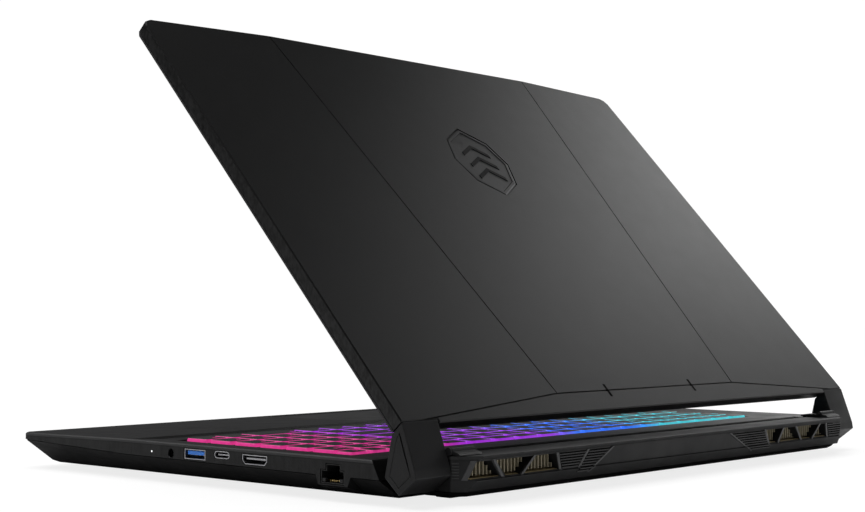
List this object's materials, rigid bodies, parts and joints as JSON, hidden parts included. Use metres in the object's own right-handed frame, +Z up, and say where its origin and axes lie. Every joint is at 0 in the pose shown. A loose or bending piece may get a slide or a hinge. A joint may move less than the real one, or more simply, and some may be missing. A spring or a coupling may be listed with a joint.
{
  "type": "laptop computer",
  "caption": "Open gaming laptop: creased lid on corner hinge legs, angular rear exhaust grille, side sockets, lit keyboard and touchpad.",
  "frame": {"origin": "centre of the base's footprint, on the surface that the feet stand on", "axes": "+X towards the user's right, +Y from the user towards the hinges, +Z up"},
  "size_m": [0.359, 0.259, 0.2069],
  "materials": {
    "casing": "satin black, fine linear grain on the side band",
    "bottom_cover": "smooth dark grey",
    "lid_shell": "matt black anodised, fine grain",
    "bezel": "fine matt texture",
    "screen": "dark switched-off panel",
    "keycaps": "black tops with coloured backlight round them",
    "touch_surface": "smooth satin",
    "rubber_feet": "matt",
    "socket_metal": "bright shell",
    "socket_plastic": "black",
    "bracket_steel": "dark plated",
    "inner_frame": "pressed sheet",
    "fins": "bronze-toned thin fins",
    "copper": "copper",
    "board": "solder mask",
    "cells": "wrapped cells",
    "modules": "dark moulded",
    "fan_plastic": "moulded",
    "badge": "polished dark"
  },
  "bodies": {
    "base": {"upper_deck": "casing", "rear_vent_panel": "casing", "lower_shell": "bottom_cover", "rear_foot": "rubber_feet", "front_foot_right": "rubber_feet", "front_foot_left": "rubber_feet", "usb_a_port_right": "socket_metal", "usb_c_port": "socket_metal", "hdmi_port": "socket_metal", "usb_a_port_left_front": "socket_metal", "usb_a_port_left_rear": "socket_metal", "ethernet_port": "socket_plastic", "power_jack": "socket_plastic", "audio_jack": "socket_plastic", "hinge_bracket_right": "bracket_steel", "hinge_bracket_left": "bracket_steel", "touchpad_frame": "inner_frame", "keyboard_tray": "inner_frame", "heatsink_fins_right": "fins", "heatsink_fins_left": "fins", "heat_pipe_lower": "copper", "heat_pipe_upper": "copper", "processor_block": "copper", "graphics_block": "copper", "mainboard": "board", "battery_pack": "cells", "ssd_module": "modules", "memory_module": "modules", "wireless_card": "modules", "speaker_right": "modules", "speaker_left": "modules", "fan_housing_right": "modules", "fan_housing_left": "modules"},
    "lid": {"lid_cover": "lid_shell", "hinge_leg_right": "lid_shell", "hinge_leg_left": "lid_shell", "screen_bezel": "bezel", "display_panel": "screen", "webcam_module": "modules", "hinge_pin_right": "bracket_steel", "hinge_pin_left": "bracket_steel", "lid_badge": "badge"},
    "fan_rotor_right": {"fan_rotor_right": "fan_plastic"},
    "fan_rotor_left": {"fan_rotor_left": "fan_plastic"},
    "touchpad": {"touchpad": "touch_surface"},
    "modifier_keys_left": {"modifier_keys_left": "keycaps"},
    "space_bar": {"space_bar": "keycaps"},
    "modifier_keys_right": {"modifier_keys_right": "keycaps"},
    "arrow_keys": {"arrow_keys": "keycaps"},
    "shift_keys": {"shift_keys": "keycaps"},
    "home_keys": {"home_keys": "keycaps"},
    "enter_key": {"enter_key": "keycaps"},
    "qwerty_keys": {"qwerty_keys": "keycaps"},
    "number_keys": {"number_keys": "keycaps"},
    "backspace_key": {"backspace_key": "keycaps"},
    "esc_key": {"esc_key": "keycaps"},
    "function_keys": {"function_keys": "keycaps"},
    "numpad_keys": {"numpad_keys": "keycaps"},
    "media_keys": {"media_keys": "keycaps"},
    "power_button": {"power_button": "keycaps"}
  },
  "joints": [
    {"name": "lid_hinge", "type": "hinge", "parent": "base", "child": "lid", "pos_m": [0, 0.1192, 0.0205], "axis": [-1, 0, 0], "range_deg": [-47.6, 87.4]},
    {"name": "fan_spin_right", "type": "hinge", "parent": "base", "child": "fan_rotor_right", "pos_m": [0.11, 0.068, 0.008], "axis": [0, 0, 1], "continuous": true},
    {"name": "fan_spin_left", "type": "hinge", "parent": "base", "child": "fan_rotor_left", "pos_m": [-0.11, 0.068, 0.008], "axis": [0, 0, 1], "continuous": true},
    {"name": "touchpad_click", "type": "slide", "parent": "base", "child": "touchpad", "axis": [0, 0, -1], "range_m": [0, 0.0004], "stiffness_N_per_m": 1500, "springref_m": -0.0006},
    {"name": "modifier_keys_left_press", "type": "slide", "parent": "base", "child": "modifier_keys_left", "axis": [0, 0, -1], "range_m": [0, 0.0012], "stiffness_N_per_m": 450, "springref_m": -0.0011},
    {"name": "space_bar_press", "type": "slide", "parent": "base", "child": "space_bar", "axis": [0, 0, -1], "range_m": [0, 0.0012], "stiffness_N_per_m": 450, "springref_m": -0.0011},
    {"name": "modifier_keys_right_press", "type": "slide", "parent": "base", "child": "modifier_keys_right", "axis": [0, 0, -1], "range_m": [0, 0.0012], "stiffness_N_per_m": 450, "springref_m": -0.0011},
    {"name": "arrow_keys_press", "type": "slide", "parent": "base", "child": "arrow_keys", "axis": [0, 0, -1], "range_m": [0, 0.0012], "stiffness_N_per_m": 450, "springref_m": -0.0011},
    {"name": "shift_keys_press", "type": "slide", "parent": "base", "child": "shift_keys", "axis": [0, 0, -1], "range_m": [0, 0.0012], "stiffness_N_per_m": 450, "springref_m": -0.0011},
    {"name": "home_keys_press", "type": "slide", "parent": "base", "child": "home_keys", "axis": [0, 0, -1], "range_m": [0, 0.0012], "stiffness_N_per_m": 450, "springref_m": -0.0011},
    {"name": "enter_key_press", "type": "slide", "parent": "base", "child": "enter_key", "axis": [0, 0, -1], "range_m": [0, 0.0012], "stiffness_N_per_m": 450, "springref_m": -0.0011},
    {"name": "qwerty_keys_press", "type": "slide", "parent": "base", "child": "qwerty_keys", "axis": [0, 0, -1], "range_m": [0, 0.0012], "stiffness_N_per_m": 450, "springref_m": -0.0011},
    {"name": "number_keys_press", "type": "slide", "parent": "base", "child": "number_keys", "axis": [0, 0, -1], "range_m": [0, 0.0012], "stiffness_N_per_m": 450, "springref_m": -0.0011},
    {"name": "backspace_key_press", "type": "slide", "parent": "base", "child": "backspace_key", "axis": [0, 0, -1], "range_m": [0, 0.0012], "stiffness_N_per_m": 450, "springref_m": -0.0011},
    {"name": "esc_key_press", "type": "slide", "parent": "base", "child": "esc_key", "axis": [0, 0, -1], "range_m": [0, 0.0012], "stiffness_N_per_m": 450, "springref_m": -0.0011},
    {"name": "function_keys_press", "type": "slide", "parent": "base", "child": "function_keys", "axis": [0, 0, -1], "range_m": [0, 0.0012], "stiffness_N_per_m": 450, "springref_m": -0.0011},
    {"name": "numpad_keys_press", "type": "slide", "parent": "base", "child": "numpad_keys", "axis": [0, 0, -1], "range_m": [0, 0.0012], "stiffness_N_per_m": 450, "springref_m": -0.0011},
    {"name": "media_keys_press", "type": "slide", "parent": "base", "child": "media_keys", "axis": [0, 0, -1], "range_m": [0, 0.0012], "stiffness_N_per_m": 450, "springref_m": -0.0011},
    {"name": "power_button_press", "type": "slide", "parent": "base", "child": "power_button", "axis": [0, 0, -1], "range_m": [0, 0.0006], "stiffness_N_per_m": 450, "springref_m": -0.0011}
  ]
}
